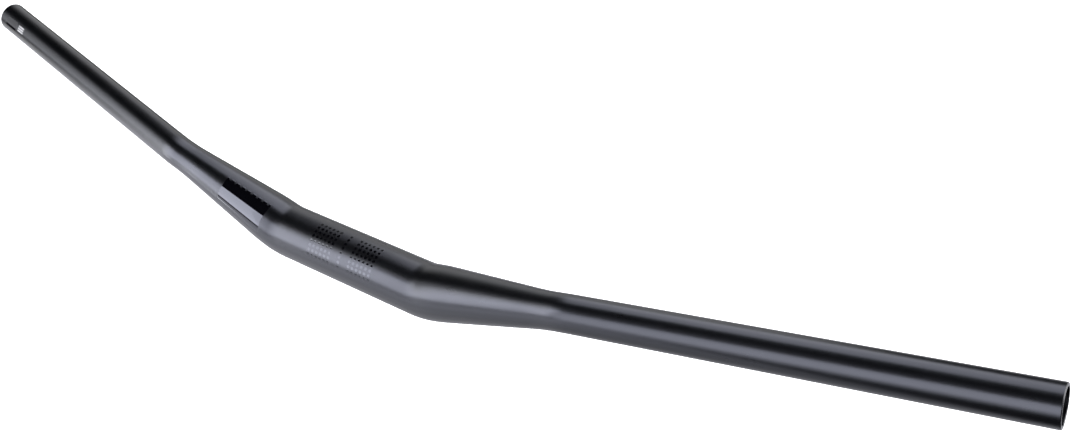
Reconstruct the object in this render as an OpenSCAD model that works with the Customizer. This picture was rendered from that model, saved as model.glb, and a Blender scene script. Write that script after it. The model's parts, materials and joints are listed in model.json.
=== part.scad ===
// Riser handlebar for a mountain bicycle: one aluminium tube, thick at the clamp, tapered
// through two shoulders and swept back and up to two open grips.
// The origin is the middle of the clamp. +X runs to the rider's left grip, +Y back to the
// rider and +Z up, with the bar turned as it sits in the stem.

/* [Overall] */
// Width between the middles of the two cut ends
bar_width = 800; // [700:5:840]
// Height of the cut ends above the clamp's axis
rise = 55; // [45:1:75]
// Angle that the grips sweep back, seen from above
backsweep = 10; // [5:0.5:14]
// Angle that the grips sweep up, seen from the front
upsweep = 6; // [3:0.5:8]

/* [Bends] */
// Distance from the middle of the bar to each inner bend
inner_bend_x = 60; // [55:1:75]
// Distance from the middle of the bar to each outer bend
outer_bend_x = 160; // [150:1:190]
// Radius of the tube's centreline through the inner bends
inner_bend_r = 45; // [35:1:60]
// Radius of the tube's centreline through the outer bends
outer_bend_r = 45; // [25:1:60]

/* [Tube] */
// Outside diameter where the stem clamps
clamp_d = 35; // [31.8, 35]
// Outside diameter under the grips
grip_d = 22.2; // [22:0.1:22.4]
// Wall where the stem clamps
clamp_wall = 2.3; // [1.8:0.1:3.2]
// Wall under the grips
grip_wall = 1.8; // [1.4:0.1:2.2]
// Radius that eases both ends of the taper into the straight tube
taper_ease_r = 150; // [40:10:250]

/* [Cut ends] */
// Chamfer on the outer edge of each cut end
outer_chamfer = 0.4; // [0.2:0.1:0.8]
// Chamfer on the inner edge of each cut end
inner_chamfer = 0.3; // [0.1:0.1:0.6]

/* [Hidden] */
$fn = 96;

clamp_r = clamp_d / 2;
clamp_bore_r = clamp_r - clamp_wall;
grip_r = grip_d / 2;
grip_bore_r = grip_r - grip_wall;

// A bend's wall is this much thicker on both faces than the straight tube's
bend_swell = 0.05;
// Straight stretches run this far into the bends' thicker walls, so the tube is one solid
lap = 0.5;
// Straight steps in each eased end of the taper
ease_steps = 8;
// A tube turned from Z to run along X has its own X side below, so this roll bends it up
inner_bend_roll = 180;

// Where the outer bend's corner lies above the clamp's axis
outer_bend_z = rise - (bar_width / 2 - outer_bend_x) * tan(upsweep);
shoulder_x = outer_bend_x - inner_bend_x;
shoulder_angle = atan2(outer_bend_z, shoulder_x);
shoulder_dir = [cos(shoulder_angle), 0, sin(shoulder_angle)];
shoulder_down = [sin(shoulder_angle), 0, -cos(shoulder_angle)];
grip_slope = [1, tan(backsweep), tan(upsweep)];
grip_dir = grip_slope / norm(grip_slope);

// The outer bend turns the shoulder's direction into the grip's, both down and back
outer_bend_angle = acos(shoulder_dir * grip_dir);
outer_bend_roll = atan2(grip_dir.y, shoulder_down * grip_dir);

// Each bend starts this far before its corner and ends as far after it
inner_setback = inner_bend_r * tan(shoulder_angle / 2);
outer_setback = outer_bend_r * tan(outer_bend_angle / 2);

clamp_len = 2 * (inner_bend_x - inner_setback);
taper_len = norm([shoulder_x, outer_bend_z]) - inner_setback - outer_setback;
grip_len = (bar_width / 2 - outer_bend_x) / grip_dir.x - outer_setback;

// A taper's line as [radius, distance] points: an arc out of the wide tube, a straight
// slope and an arc into the narrow tube, with the lap at both ends
function taper_profile(wide_r, narrow_r) =
    let (
        drop = wide_r - narrow_r,
        widest_ease = 0.8 * (pow(taper_len, 2) + pow(drop, 2)) / (4 * drop),
        ease_r = min(taper_ease_r, widest_ease),
        centres = norm([2 * ease_r - drop, taper_len]),
        slope = asin(2 * ease_r / centres) - atan2(2 * ease_r - drop, taper_len)
    )
    concat(
        [[wide_r, -lap]],
        [for (i = [0 : ease_steps])
            let (turn = slope * i / ease_steps)
            [wide_r - ease_r * (1 - cos(turn)), ease_r * sin(turn)]],
        [for (i = [ease_steps : -1 : 0])
            let (turn = slope * i / ease_steps)
            [narrow_r + ease_r * (1 - cos(turn)), taper_len - ease_r * sin(turn)]],
        [[narrow_r, taper_len + lap]]
    );

// A straight or tapered stretch of tube, from its outer and inner [radius, distance] lines
module turned(outer, inner) {
    turned_back = [for (i = [len(inner) - 1 : -1 : 0]) inner[i]];
    rotate_extrude()
        polygon(concat(outer, turned_back));
}

// A bend of the tube that starts along +Z and turns towards the side at roll, with its
// children at its far end
module bend(centreline_r, angle, roll, outer_r, wall) {
    rotate([0, 0, roll]) {
        translate([centreline_r, 0, 0])
            rotate([90, 0, 0])
                rotate_extrude(angle = angle, start = 180 - angle)
                    translate([centreline_r, 0])
                        difference() {
                            circle(r = outer_r + bend_swell);
                            circle(r = outer_r - wall - bend_swell);
                        }
        translate([centreline_r * (1 - cos(angle)), 0, centreline_r * sin(angle)])
            rotate([0, angle, 0])
                rotate([0, 0, -roll])
                    children();
    }
}

module clamp_tube() {
    clamp_end = clamp_len / 2 + lap;
    rotate([0, 90, 0])
        turned([[clamp_r, -clamp_end], [clamp_r, clamp_end]],
               [[clamp_bore_r, -clamp_end], [clamp_bore_r, clamp_end]]);
}

module taper() {
    turned(taper_profile(clamp_r, grip_r), taper_profile(clamp_bore_r, grip_bore_r));
}

module grip_tube() {
    turned([[grip_r, -lap], [grip_r, grip_len - outer_chamfer],
            [grip_r - outer_chamfer, grip_len]],
           [[grip_bore_r, -lap], [grip_bore_r, grip_len - inner_chamfer],
            [grip_bore_r + inner_chamfer, grip_len]]);
}

// From the end of the straight clamp to the cut end
module side() {
    rotate([0, 90, 0])
        bend(inner_bend_r, shoulder_angle, inner_bend_roll, clamp_r, clamp_wall) {
            taper();
            translate([0, 0, taper_len])
                bend(outer_bend_r, outer_bend_angle, outer_bend_roll, grip_r, grip_wall)
                    grip_tube();
        }
}

module handlebar() {
    color("#1c1c1f") {
        clamp_tube();
        for (turn = [0, 1])
            mirror([turn, 0, 0])
                translate([clamp_len / 2, 0, 0])
                    side();
    }
}

handlebar();
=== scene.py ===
import json
from math import asin, atan2, cos, hypot, pi, radians, sin, sqrt, tan

import bpy
from mathutils import Matrix, Vector

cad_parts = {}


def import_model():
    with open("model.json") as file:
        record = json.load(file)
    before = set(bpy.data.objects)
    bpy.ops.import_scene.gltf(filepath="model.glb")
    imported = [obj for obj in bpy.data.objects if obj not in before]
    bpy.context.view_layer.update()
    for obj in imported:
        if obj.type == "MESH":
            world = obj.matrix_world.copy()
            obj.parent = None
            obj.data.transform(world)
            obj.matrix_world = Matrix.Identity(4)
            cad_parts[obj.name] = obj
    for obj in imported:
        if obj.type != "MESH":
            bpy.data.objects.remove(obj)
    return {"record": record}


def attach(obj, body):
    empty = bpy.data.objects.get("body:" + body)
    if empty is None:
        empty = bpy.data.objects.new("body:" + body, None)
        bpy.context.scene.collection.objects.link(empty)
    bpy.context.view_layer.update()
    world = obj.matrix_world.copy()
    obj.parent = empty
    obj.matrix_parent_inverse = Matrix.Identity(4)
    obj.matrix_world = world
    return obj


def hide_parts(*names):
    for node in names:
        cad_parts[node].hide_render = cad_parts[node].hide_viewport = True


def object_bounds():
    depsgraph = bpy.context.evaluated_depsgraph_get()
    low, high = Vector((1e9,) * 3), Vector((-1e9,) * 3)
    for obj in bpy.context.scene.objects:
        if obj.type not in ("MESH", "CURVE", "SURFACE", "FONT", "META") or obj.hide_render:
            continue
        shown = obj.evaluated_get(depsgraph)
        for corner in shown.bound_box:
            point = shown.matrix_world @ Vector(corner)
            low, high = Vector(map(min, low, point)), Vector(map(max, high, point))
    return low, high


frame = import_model()
cad_low, cad_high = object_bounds()

MM = 0.001
PHOTO_W = 1080

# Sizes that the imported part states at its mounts
mounts = {mount["name"]: mount for mount in frame["record"]["mounts"]}
clamp_r = mounts["stem_clamp"]["dims"]["r_mm"] * MM
grip_r = mounts["grip_left"]["dims"]["r_mm"] * MM
grip_bore_r = mounts["bar_end_left"]["dims"]["r_mm"] * MM
grip_point = Vector(mounts["grip_left"]["pos_m"])
grip_dir = Vector(mounts["grip_left"]["axis"]).normalized()

# Driving dimensions of the tube
bar_width = 800 * MM
inner_bend_x = 60 * MM
outer_bend_x = 160 * MM
inner_bend_r = 45 * MM
outer_bend_r = 45 * MM
clamp_wall = 2.3 * MM
taper_ease_r = 150 * MM
# The easing radius is at most this share of the one with which both arcs would meet
ease_share = 0.8
outer_chamfer = 0.4 * MM
inner_chamfer = 0.3 * MM

# Fineness of the mesh
SIDES = 96
STRAIGHT_STEP = 6 * MM
BEND_STEP = radians(1.2)
SHARP_ANGLE = radians(35)

# Material slots of the tube, in the order of its rings
SATIN, CUT, BORE = range(3)


# Centreline

class Station:
    """A place on the centreline, with the tube's own up and front directions there."""

    def __init__(self, along, point, direction, up, front):
        self.along = along
        self.point = point
        self.direction = direction
        self.up = up
        self.front = front

    def mirrored(self):
        flip = Matrix.Diagonal((-1, 1, 1))
        return Station(-self.along, flip @ self.point, -(flip @ self.direction),
                       flip @ self.up, flip @ self.front)


def straight(stations, length):
    """Adds a straight stretch after the last station."""
    start = stations[-1]
    steps = max(1, round(length / STRAIGHT_STEP))
    for i in range(1, steps + 1):
        reach = length * i / steps
        stations.append(Station(start.along + reach, start.point + start.direction * reach,
                                start.direction, start.up, start.front))


def bend(stations, radius, new_direction):
    """Adds a round bend that ends in a new direction and doesn't twist the tube."""
    start = stations[-1]
    angle = start.direction.angle(new_direction)
    axis = start.direction.cross(new_direction).normalized()
    centre = start.point + axis.cross(start.direction) * radius
    steps = max(1, round(angle / BEND_STEP))
    for i in range(1, steps + 1):
        turn = Matrix.Rotation(angle * i / steps, 3, axis)
        stations.append(Station(start.along + radius * angle * i / steps,
                                centre + turn @ (start.point - centre),
                                turn @ start.direction, turn @ start.up, turn @ start.front))


outer_corner = grip_point + grip_dir * ((outer_bend_x - grip_point.x) / grip_dir.x)
inner_corner = Vector((inner_bend_x, 0, 0))
cut_end = grip_point + grip_dir * ((bar_width / 2 - grip_point.x) / grip_dir.x)
shoulder = Vector((outer_bend_x, 0, outer_corner.z)) - inner_corner
shoulder_dir = shoulder.normalized()
clamp_dir = Vector((1, 0, 0))
inner_setback = inner_bend_r * tan(clamp_dir.angle(shoulder_dir) / 2)
outer_setback = outer_bend_r * tan(shoulder_dir.angle(grip_dir) / 2)
taper_len = shoulder.length - inner_setback - outer_setback
grip_len = (cut_end - outer_corner).length - outer_setback


def half_centreline():
    """Stations from the middle of the clamp to the cut end at +X, and where the taper starts."""
    stations = [Station(0, Vector((0, 0, 0)), clamp_dir, Vector((0, 0, 1)), Vector((0, -1, 0)))]
    straight(stations, inner_bend_x - inner_setback)
    bend(stations, inner_bend_r, shoulder_dir)
    taper_start = stations[-1].along
    straight(stations, taper_len)
    bend(stations, outer_bend_r, grip_dir)
    straight(stations, grip_len)
    return stations, taper_start


half, taper_start = half_centreline()
half_len = half[-1].along
centreline = [station.mirrored() for station in reversed(half[1:])] + half


def tapered_radius(along, wide_r, narrow_r):
    """Radius of one face of the wall: arcs ease both ends of a straight slope."""
    reach = abs(along) - taper_start
    if reach <= 0:
        return wide_r
    if reach >= taper_len:
        return narrow_r
    drop = wide_r - narrow_r
    widest_ease = ease_share * (taper_len ** 2 + drop ** 2) / (4 * drop)
    ease_r = min(taper_ease_r, widest_ease)
    centres = hypot(2 * ease_r - drop, taper_len)
    slope = asin(2 * ease_r / centres) - atan2(2 * ease_r - drop, taper_len)
    eased = ease_r * sin(slope)
    if reach < eased:
        return wide_r - ease_r + sqrt(ease_r ** 2 - reach ** 2)
    if reach > taper_len - eased:
        return narrow_r + ease_r - sqrt(ease_r ** 2 - (taper_len - reach) ** 2)
    return wide_r - ease_r * (1 - cos(slope)) - (reach - eased) * tan(slope)


# Tube mesh

def outer_rings():
    """(station, set back from it, radius, material) from one chamfer to the other."""
    rings = []
    for station in centreline:
        radius = tapered_radius(station.along, clamp_r, grip_r)
        back = outer_chamfer if abs(station.along) == half_len else 0
        rings.append((station, back, radius, SATIN))
    return rings


def inner_rings():
    """The wall's inner face, from the far end back to the first."""
    rings = []
    for station in reversed(centreline):
        radius = tapered_radius(station.along, clamp_r - clamp_wall, grip_bore_r)
        back = inner_chamfer if abs(station.along) == half_len else 0
        rings.append((station, back, radius, BORE))
    return rings


def ring_points(station, back, radius):
    """The ring's points in space, and unbent: along the tube, to its front and up."""
    inward = -1 if station.along > 0 else 1
    centre = station.point + station.direction * (inward * back)
    along = station.along + inward * back
    space, unbent = [], []
    for i in range(SIDES):
        angle = 2 * pi * i / SIDES
        space.append(centre + (station.up * cos(angle) + station.front * sin(angle)) * radius)
        unbent.append((along, radius * sin(angle), radius * cos(angle)))
    return space, unbent


def tube():
    """A closed mesh: down the outside, over the cut end, back through the bore and round again."""
    first, last = centreline[0], centreline[-1]
    rings = outer_rings()
    rings[-1] = rings[-1][:3] + (CUT,)
    rings.append((last, 0, grip_r - outer_chamfer, CUT))
    rings.append((last, 0, grip_bore_r + inner_chamfer, CUT))
    rings += inner_rings()
    rings[-1] = rings[-1][:3] + (CUT,)
    rings.append((first, 0, grip_bore_r + inner_chamfer, CUT))
    rings.append((first, 0, grip_r - outer_chamfer, CUT))

    points, unbent, faces, materials = [], [], [], []
    for station, back, radius, material in rings:
        ring, flat = ring_points(station, back, radius)
        points += ring
        unbent += flat
        materials += [material] * SIDES
    for k in range(len(rings)):
        this, following = k * SIDES, (k + 1) % len(rings) * SIDES
        for i in range(SIDES):
            j = (i + 1) % SIDES
            faces.append((this + i, this + j, following + j, following + i))

    mesh = bpy.data.meshes.new("handlebar_tube")
    mesh.from_pydata(points, [], faces)
    mesh.polygons.foreach_set("material_index", materials)
    mesh.polygons.foreach_set("use_smooth", [True] * len(faces))
    mesh.set_sharp_from_angle(angle=SHARP_ANGLE)
    attribute = mesh.attributes.new("unbent", "FLOAT_VECTOR", "POINT")
    attribute.data.foreach_set("vector", [value for place in unbent for value in place])
    mesh.update()
    obj = bpy.data.objects.new("handlebar_tube", mesh)
    bpy.context.scene.collection.objects.link(obj)
    return obj


# Material nodes

class Graph:
    """Short calls for the nodes of one material."""

    def __init__(self, name):
        self.material = bpy.data.materials.new(name)
        self.material.use_nodes = True
        self.tree = self.material.node_tree
        self.shader = self.tree.nodes["Principled BSDF"]

    def node(self, kind, inputs=(), **settings):
        made = self.tree.nodes.new("ShaderNode" + kind)
        for key, value in settings.items():
            setattr(made, key, value)
        for key, value in dict(inputs).items():
            self.feed(made.inputs[key], value)
        return made

    def feed(self, socket, value):
        if isinstance(value, bpy.types.NodeSocket):
            self.tree.links.new(value, socket)
        elif socket.type == "RGBA":
            socket.default_value = (*value, 1)
        else:
            socket.default_value = value

    def math(self, operation, a, b=0.0):
        return self.node("Math", {0: a, 1: b}, operation=operation).outputs[0]

    def times(self, first, *others):
        """The product of two or more values."""
        product = first
        for value in others:
            product = self.math("MULTIPLY", product, value)
        return product

    def plus(self, a, b):
        return self.math("ADD", a, b)

    def either(self, first, *others):
        """The greatest of two or more masks."""
        greatest = first
        for value in others:
            greatest = self.math("MAXIMUM", greatest, value)
        return greatest

    def length(self, a, b):
        """The distance that two offsets at right angles make."""
        squares = self.plus(self.math("POWER", a, 2.0), self.math("POWER", b, 2.0))
        return self.math("SQRT", squares)

    def from_line(self, value, start, pitch):
        """How far a value lies from the nearest of even lines, one of them at start."""
        return self.math("PINGPONG", self.math("SUBTRACT", value, start), pitch / 2)

    def noise(self, place, scale, detail, roughness):
        made = self.node("TexNoise", {"Vector": place, "Scale": scale, "Detail": detail,
                                      "Roughness": roughness})
        return made.outputs["Fac"]

    def stretched(self, place, stretch):
        made = self.node("Mapping", {"Vector": place, "Scale": stretch}, vector_type="POINT")
        return made.outputs[0]

    def spread(self, value, low, high):
        """A value from 0 to 1 spread from low to high."""
        made = self.node("MapRange", {"Value": value, "To Min": low, "To Max": high})
        return made.outputs[0]

    def over(self, value, low, soft):
        """1 where a value lies over low, with an edge that fades over soft."""
        made = self.node("MapRange", {"Value": value, "From Min": low - soft / 2,
                                      "From Max": low + soft / 2})
        return made.outputs[0]

    def under(self, value, high, soft):
        """1 where a value lies under high, with an edge that fades over soft."""
        made = self.node("MapRange", {"Value": value, "From Min": high + soft / 2,
                                      "From Max": high - soft / 2})
        return made.outputs[0]

    def within(self, value, low, high, soft):
        """1 where a value lies from low to high, with edges that fade over soft."""
        return self.times(self.over(value, low, soft), self.under(value, high, soft))

    def mixed(self, mask, outside, inside):
        """One value where a mask is 0 and another where it is 1."""
        return self.node("Mix", {0: mask, 2: outside, 3: inside}).outputs[0]

    def tinted(self, mask, outside, inside):
        """One colour where a mask is 0 and another where it is 1."""
        made = self.node("Mix", {0: mask, 6: outside, 7: inside}, data_type="RGBA")
        return made.outputs[2]

    def set(self, **values):
        for name, value in values.items():
            self.feed(self.shader.inputs[name.replace("_", " ")], value)

    def bump(self, height, depth):
        made = self.node("Bump", {"Height": height, "Distance": depth, "Strength": 1.0})
        self.set(Normal=made.outputs[0])


def unbent_place(graph):
    """The unbent coordinates as one vector, and its parts: along, to the front and up."""
    place = graph.node("Attribute", attribute_name="unbent").outputs["Vector"]
    return place, graph.node("SeparateXYZ", {0: place}).outputs


def grey(value):
    return (value, value, value)


# Prints on the tube, in metres along it and degrees from its top to its front

def panel_print(graph, along, round_deg):
    """A plain gloss panel on the right-hand taper, with a row of slots along its upper edge."""
    left, right = -112.5 * MM, -72.5 * MM
    slot_top, top, bottom = 11.5, 18.0, 86.0
    overlap = 1.0
    slot_pitch = 5.0 * MM
    slot_width = 3.2 * MM
    soft = 0.2 * MM
    soft_deg = 0.8

    sides = graph.within(along, left, right, soft)
    panel = graph.times(sides, graph.within(round_deg, top, bottom, soft_deg))
    slots = graph.under(graph.from_line(along, left, slot_pitch), slot_width / 2, soft)
    band = graph.within(round_deg, slot_top, top + overlap, soft_deg)
    return graph.either(panel, graph.times(slots, band, sides))


def dot_print(graph, along, round_deg):
    """Even rows of gloss dots where the stem clamps, in two blocks with a line of dots between."""
    pitch = 3.4 * MM
    block_start, block_end = 2 * pitch, 8 * pitch
    row_pitch = 10.4
    rows = 8
    top = -6.2
    dot_r = 0.95 * MM
    soft = 0.25 * MM
    zone_soft = 0.05 * MM
    zone_soft_deg = 0.1

    reach = graph.math("ABSOLUTE", along)
    middle = graph.under(reach, pitch / 2, zone_soft)
    blocks = graph.within(reach, block_start, block_end, zone_soft)
    across = graph.mixed(middle, graph.from_line(reach, pitch / 2, pitch), reach)
    turn = graph.from_line(round_deg, top + row_pitch / 2, row_pitch)
    down = graph.times(turn, radians(1) * clamp_r)
    dots = graph.under(graph.length(across, down), dot_r, soft)
    belt = graph.within(round_deg, top, top + rows * row_pitch, zone_soft_deg)
    return graph.times(dots, graph.either(middle, blocks), belt)


def field_print(graph, along, round_deg):
    """A plain gloss field between the right-hand cut end and the white lines."""
    start, end = -399 * MM, -384 * MM
    top, bottom = 38.0, 78.0
    soft = 0.4 * MM
    soft_deg = 1.5
    return graph.times(graph.within(along, start, end, soft),
                       graph.within(round_deg, top, bottom, soft_deg))


def line_print(graph, along, round_deg):
    """White lines near the right-hand cut end, side by side along the tube."""
    start, end = -381 * MM, -373 * MM
    top = 43.0
    pitch = 9.5
    width = 5.0
    lines = 3
    bottom = top + (lines - 1) * pitch + width
    soft = 0.3 * MM
    line_soft_deg = 1.0
    zone_soft_deg = 0.5

    from_middle = graph.from_line(round_deg, top + width / 2, pitch)
    stripes = graph.under(from_middle, width / 2, line_soft_deg)
    return graph.times(stripes, graph.within(along, start, end, soft),
                       graph.within(round_deg, top, bottom, zone_soft_deg))


# Materials

def satin_anodised():
    """Satin black anodising with drawing marks, fine grain, gloss black ink and white paint."""
    graph = Graph("satin_black_anodised")
    place, parts = unbent_place(graph)
    along = parts["X"]
    round_deg = graph.math("DEGREES", graph.math("ARCTAN2", parts["Y"], parts["Z"]))
    solid = graph.node("TexCoord").outputs["Object"]
    mottle = graph.noise(solid, scale=60.0, detail=3.0, roughness=0.55)
    marks = graph.stretched(place, (6.0, 900.0, 900.0))
    drawn = graph.noise(marks, scale=1.0, detail=2.0, roughness=0.5)
    grain = graph.noise(solid, scale=2600.0, detail=2.0, roughness=0.6)
    ink = graph.either(panel_print(graph, along, round_deg), dot_print(graph, along, round_deg),
                       field_print(graph, along, round_deg))
    paint = line_print(graph, along, round_deg)

    mottle_share = 0.7
    darkest, lightest = (0.0001, 0.0001, 0.0002), (0.0004, 0.0004, 0.0006)
    ink_black = (0.0012, 0.0012, 0.0018)
    paint_white = grey(0.33)
    shade = graph.plus(graph.times(mottle, mottle_share), graph.times(drawn, 1 - mottle_share))
    black = graph.tinted(shade, darkest, lightest)
    colour = graph.tinted(paint, graph.tinted(ink, black, ink_black), paint_white)

    ink_rough, paint_rough = 0.05, 0.5
    satin_rough = graph.plus(graph.spread(mottle, 0.26, 0.32), graph.spread(drawn, -0.02, 0.02))
    rough = graph.mixed(paint, graph.mixed(ink, satin_rough, ink_rough), paint_rough)
    graph.set(Base_Color=colour, Roughness=rough, IOR=1.52, Specular_Tint=(0.85, 0.88, 1.0))

    grain_share = 0.25
    ink_depth = 0.008 * MM
    bare = graph.math("SUBTRACT", 1.0, ink)
    graph.bump(graph.plus(graph.times(grain, bare, grain_share), ink), ink_depth)
    return graph.material


def cut_metal():
    """Bare metal with the fine rings of a cutting tool, on the cut ends and their chamfers."""
    graph = Graph("machined_cut_end")
    place, parts = unbent_place(graph)
    ring_pitch = 0.15 * MM
    ring_share = 0.3
    depth = 0.01 * MM
    out = graph.length(parts["Y"], parts["Z"])
    rings = graph.math("SINE", graph.times(out, 2 * pi / ring_pitch))
    worn = graph.noise(place, scale=900.0, detail=3.0, roughness=0.6)
    graph.set(Base_Color=graph.tinted(worn, (0.16, 0.16, 0.17), (0.27, 0.27, 0.28)),
              Metallic=1.0, Roughness=graph.spread(worn, 0.22, 0.36))
    graph.bump(graph.plus(graph.spread(rings, 0.0, ring_share), worn), depth)
    return graph.material


def bore_metal():
    """Dark metal with long drawing marks, on the wall of the bore."""
    graph = Graph("drawn_bore")
    place = unbent_place(graph)[0]
    depth = 0.02 * MM
    marks = graph.stretched(place, (8.0, 1200.0, 1200.0))
    drawn = graph.noise(marks, scale=1.0, detail=3.0, roughness=0.6)
    graph.set(Base_Color=graph.tinted(drawn, (0.006, 0.006, 0.007), (0.02, 0.02, 0.022)),
              Metallic=1.0, Roughness=graph.spread(drawn, 0.35, 0.55))
    graph.bump(drawn, depth)
    return graph.material


bar = tube()
for material in (satin_anodised(), cut_metal(), bore_metal()):
    bar.data.materials.append(material)
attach(bar, "root")
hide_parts("handlebar")


# Studio

WHITE = (1, 1, 1)
# Slightly blue, for the lights that the middle of the bar mirrors
COOL = (0.97, 0.975, 1.045)


def direction(azimuth, elevation):
    """Unit vector: azimuth from the front (-Y) towards +X, elevation above the horizon."""
    az, el = radians(azimuth), radians(elevation)
    return Vector((sin(az) * cos(el), -cos(az) * cos(el), sin(el)))


def camera():
    """The photograph's view, fitted to the outline of the bar."""
    focal_px = 1357.1
    axis_px = 303.6
    azimuth, elevation, roll = 50.394, 36.266, -12.370
    location = (505.04 * MM, -452.43 * MM, 539.15 * MM)
    data = bpy.data.cameras.new("camera")
    data.sensor_fit = "HORIZONTAL"
    data.sensor_width = 36.0
    data.lens = data.sensor_width * focal_px / PHOTO_W
    data.shift_x = (PHOTO_W / 2 - axis_px) / PHOTO_W
    data.clip_start, data.clip_end = 0.01, 100.0
    back = direction(azimuth, elevation)
    level_right = Vector((0, 0, 1)).cross(back).normalized()
    right = Matrix.Rotation(radians(roll), 3, back) @ level_right
    up = back.cross(right)
    obj = bpy.data.objects.new("camera", data)
    obj.rotation_mode = "QUATERNION"
    obj.rotation_quaternion = Matrix((right, up, back)).transposed().to_quaternion()
    obj.location = location
    bpy.context.scene.collection.objects.link(obj)
    bpy.context.scene.camera = obj


def floor():
    """A bright white floor that the bar doesn't mirror."""
    drop = 320 * MM
    half_side = 30.0
    z = cad_low.z - drop
    mesh = bpy.data.meshes.new("floor")
    corners = [(-half_side, -half_side, z), (half_side, -half_side, z),
               (half_side, half_side, z), (-half_side, half_side, z)]
    mesh.from_pydata(corners, [], [(0, 1, 2, 3)])
    graph = Graph("pale_floor")
    graph.set(Base_Color=grey(0.85), Roughness=0.9, Emission_Color=WHITE, Emission_Strength=1.0)
    mesh.materials.append(graph.material)
    obj = bpy.data.objects.new("floor", mesh)
    bpy.context.scene.collection.objects.link(obj)
    obj.visible_glossy = False


def world():
    """A white background for the camera only: the light panels light the bar."""
    made = bpy.data.worlds.new("white_room")
    made.use_nodes = True
    background = made.node_tree.nodes["Background"]
    background.inputs["Color"].default_value = (*WHITE, 1)
    background.inputs["Strength"].default_value = 1.0
    made.cycles_visibility.glossy = False
    made.cycles_visibility.diffuse = False
    bpy.context.scene.world = made


def light_panel(name, corner, along, up, radiance, colour=WHITE):
    """An even light on the rectangle between a corner and two edges, turned to face the bar."""
    corner, along, up = Vector(corner), Vector(along), Vector(up)
    middle = corner + (along + up) / 2
    back = along.cross(up)
    if back.dot(middle) < 0:
        along, back = -along, -back
    light = bpy.data.lights.new(name, "AREA")
    light.shape = "RECTANGLE"
    light.size = along.length
    light.size_y = up.length
    light.energy = radiance * light.size * light.size_y * pi
    light.color = colour
    obj = bpy.data.objects.new(name, light)
    obj.location = middle
    obj.rotation_mode = "QUATERNION"
    axes = Matrix((along.normalized(), up.normalized(), back.normalized()))
    obj.rotation_quaternion = axes.transposed().to_quaternion()
    obj.visible_camera = False
    bpy.context.scene.collection.objects.link(obj)


def wall_light(name, start, end, heights, radiance, colour=WHITE):
    """An upright panel between two points of the ground plan and two heights."""
    low, high = heights
    along = (end[0] - start[0], end[1] - start[1], 0)
    light_panel(name, (*start, low), along, (0, 0, high - low), radiance, colour)


def front_lights():
    """A bright key light in front of the rider's right side, with dimmer lights on both sides."""
    wall_end, wall_middle = (1.34, -1.39), (-0.53, -1.31)
    wall_light("front_card", wall_end, wall_middle, heights=(-0.31, 0.0), radiance=1.95,
               colour=COOL)
    wall_light("front_softbox", wall_end, wall_middle, heights=(0.0, 1.065), radiance=5.2,
               colour=COOL)

    key_end, key_step, key_far = (-0.74, -1.40), (-0.93, -1.40), (-1.60, -1.40)
    key_heights = (-0.14, 1.38)
    wall_light("key_softbox", key_step, key_far, key_heights, radiance=8.8, colour=COOL)
    wall_light("key_end", key_end, key_step, key_heights, radiance=7.6, colour=COOL)

    left, far_left, side = (-1.19, -1.02), (-2.19, -1.33), (-2.36, -0.62)
    wall_light("left_softbox", left, far_left, heights=(-0.61, 1.66), radiance=7.5)
    wall_light("side_card", far_left, side, heights=(0.01, 1.95), radiance=1.5)


def back_lights():
    """A softbox high behind the bar, paper that dims upwards, and a fill for the bar's back."""
    light_panel("back_softbox", corner=(-0.72, 0.99, 0.65), along=(1.53, 0, 0),
                up=(0, -0.80, 0.73), radiance=3.3, colour=COOL)
    paper_left, paper_right = (-3.3, 1.24), (-0.27, 1.33)
    paper_low, paper_fold, paper_top = -0.04, 1.09, 1.78
    wall_light("paper_low", paper_left, paper_right, (paper_low, paper_fold), radiance=1.02)
    wall_light("paper_high", paper_left, paper_right, (paper_fold, paper_top), radiance=0.23)
    wall_light("rear_fill", (0.9, 1.9), (2.4, 0.7), heights=(0.1, 1.6), radiance=1.4)


def bounce_cards():
    """White cards under the bar, with one straight edge between the bar and the camera."""
    edge_azimuth = 64.5
    edge_reach = 0.394
    drop = 223 * MM
    depth = 1.6
    front_depth = 1.05
    # Where along the edge each strip starts and ends, and its radiance
    strips = [(-2.0, 0.07, 0.8), (0.07, 0.19, 1.05), (0.19, 0.42, 1.55)]
    last_end = 1.48
    out = direction(edge_azimuth, 0)
    edge = Vector((out.y, -out.x, 0))
    corner = out * edge_reach + Vector((0, 0, cad_low.z - drop))
    for i, (start, end, radiance) in enumerate(strips):
        light_panel("bounce_card_%d" % i, corner + edge * start, edge * (end - start),
                    -out * depth, radiance, COOL)

    # The last strip is brighter in front of the bar than on its right-hand side
    last_corner = corner + edge * strips[-1][1]
    last_width = edge * (last_end - strips[-1][1])
    light_panel("front_bounce_card", last_corner, last_width, -out * front_depth,
                radiance=2.3, colour=COOL)
    light_panel("side_bounce_card", last_corner - out * front_depth, last_width,
                -out * (depth - front_depth), radiance=1.3)


camera()
floor()
world()
front_lights()
back_lights()
bounce_cards()
bpy.context.scene.view_settings.view_transform = "Standard"
